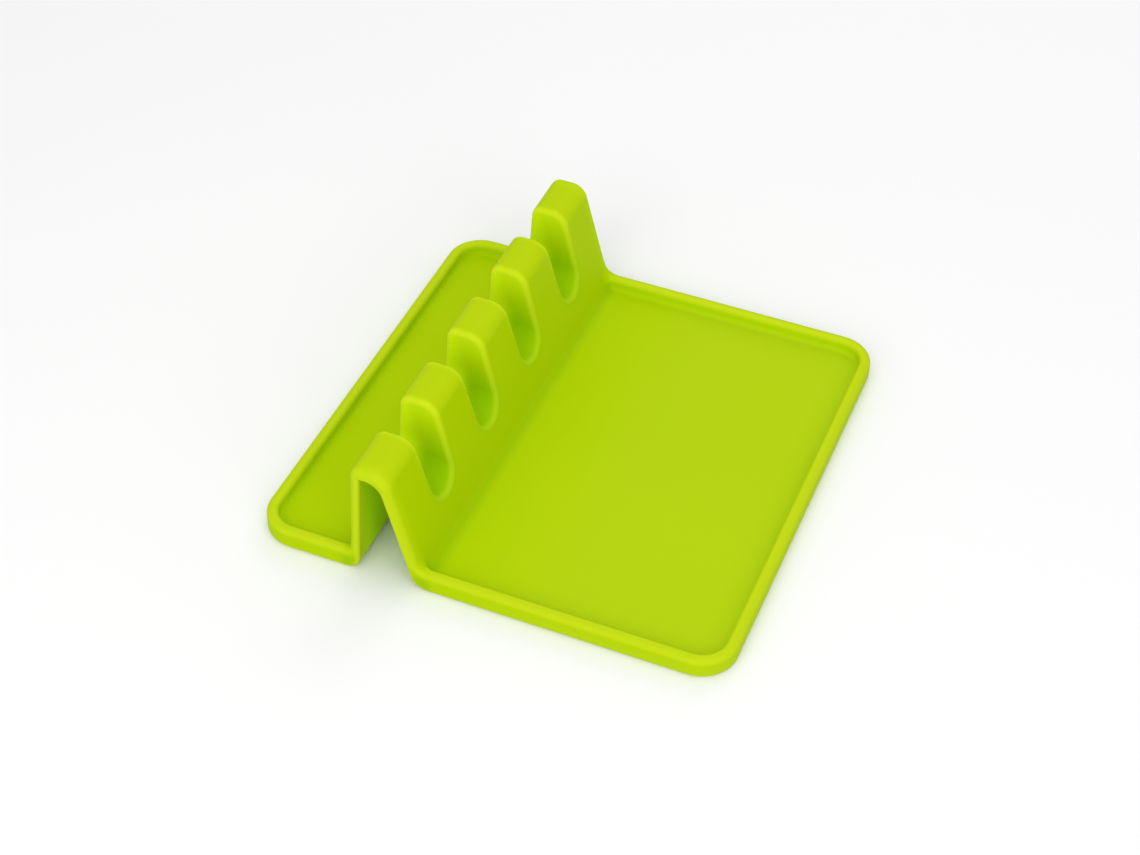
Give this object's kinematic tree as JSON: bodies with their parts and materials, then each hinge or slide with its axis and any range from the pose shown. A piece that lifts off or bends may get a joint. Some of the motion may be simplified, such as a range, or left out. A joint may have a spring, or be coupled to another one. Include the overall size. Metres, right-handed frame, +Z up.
{
  "type": "spoon rest",
  "caption": "Soft moulded rest with a wide rimmed drip tray, a narrow rimmed tray and a hollow notched ridge between them that holds utensil handles above the tray.",
  "frame": {"origin": "centre of the footprint, on the table", "axes": "+X from the narrow handle tray to the wide drip tray, +Y along the ridge from its front end to its back end, +Z up"},
  "size_m": [0.1864, 0.19, 0.051],
  "materials": {
    "drip_tray": "satin lime green silicone",
    "handle_tray": "satin lime green silicone",
    "notched_ridge": "satin lime green silicone"
  },
  "bodies": {
    "root": {"drip_tray": "drip_tray", "handle_tray": "handle_tray", "notched_ridge": "notched_ridge"}
  },
  "joints": []
}
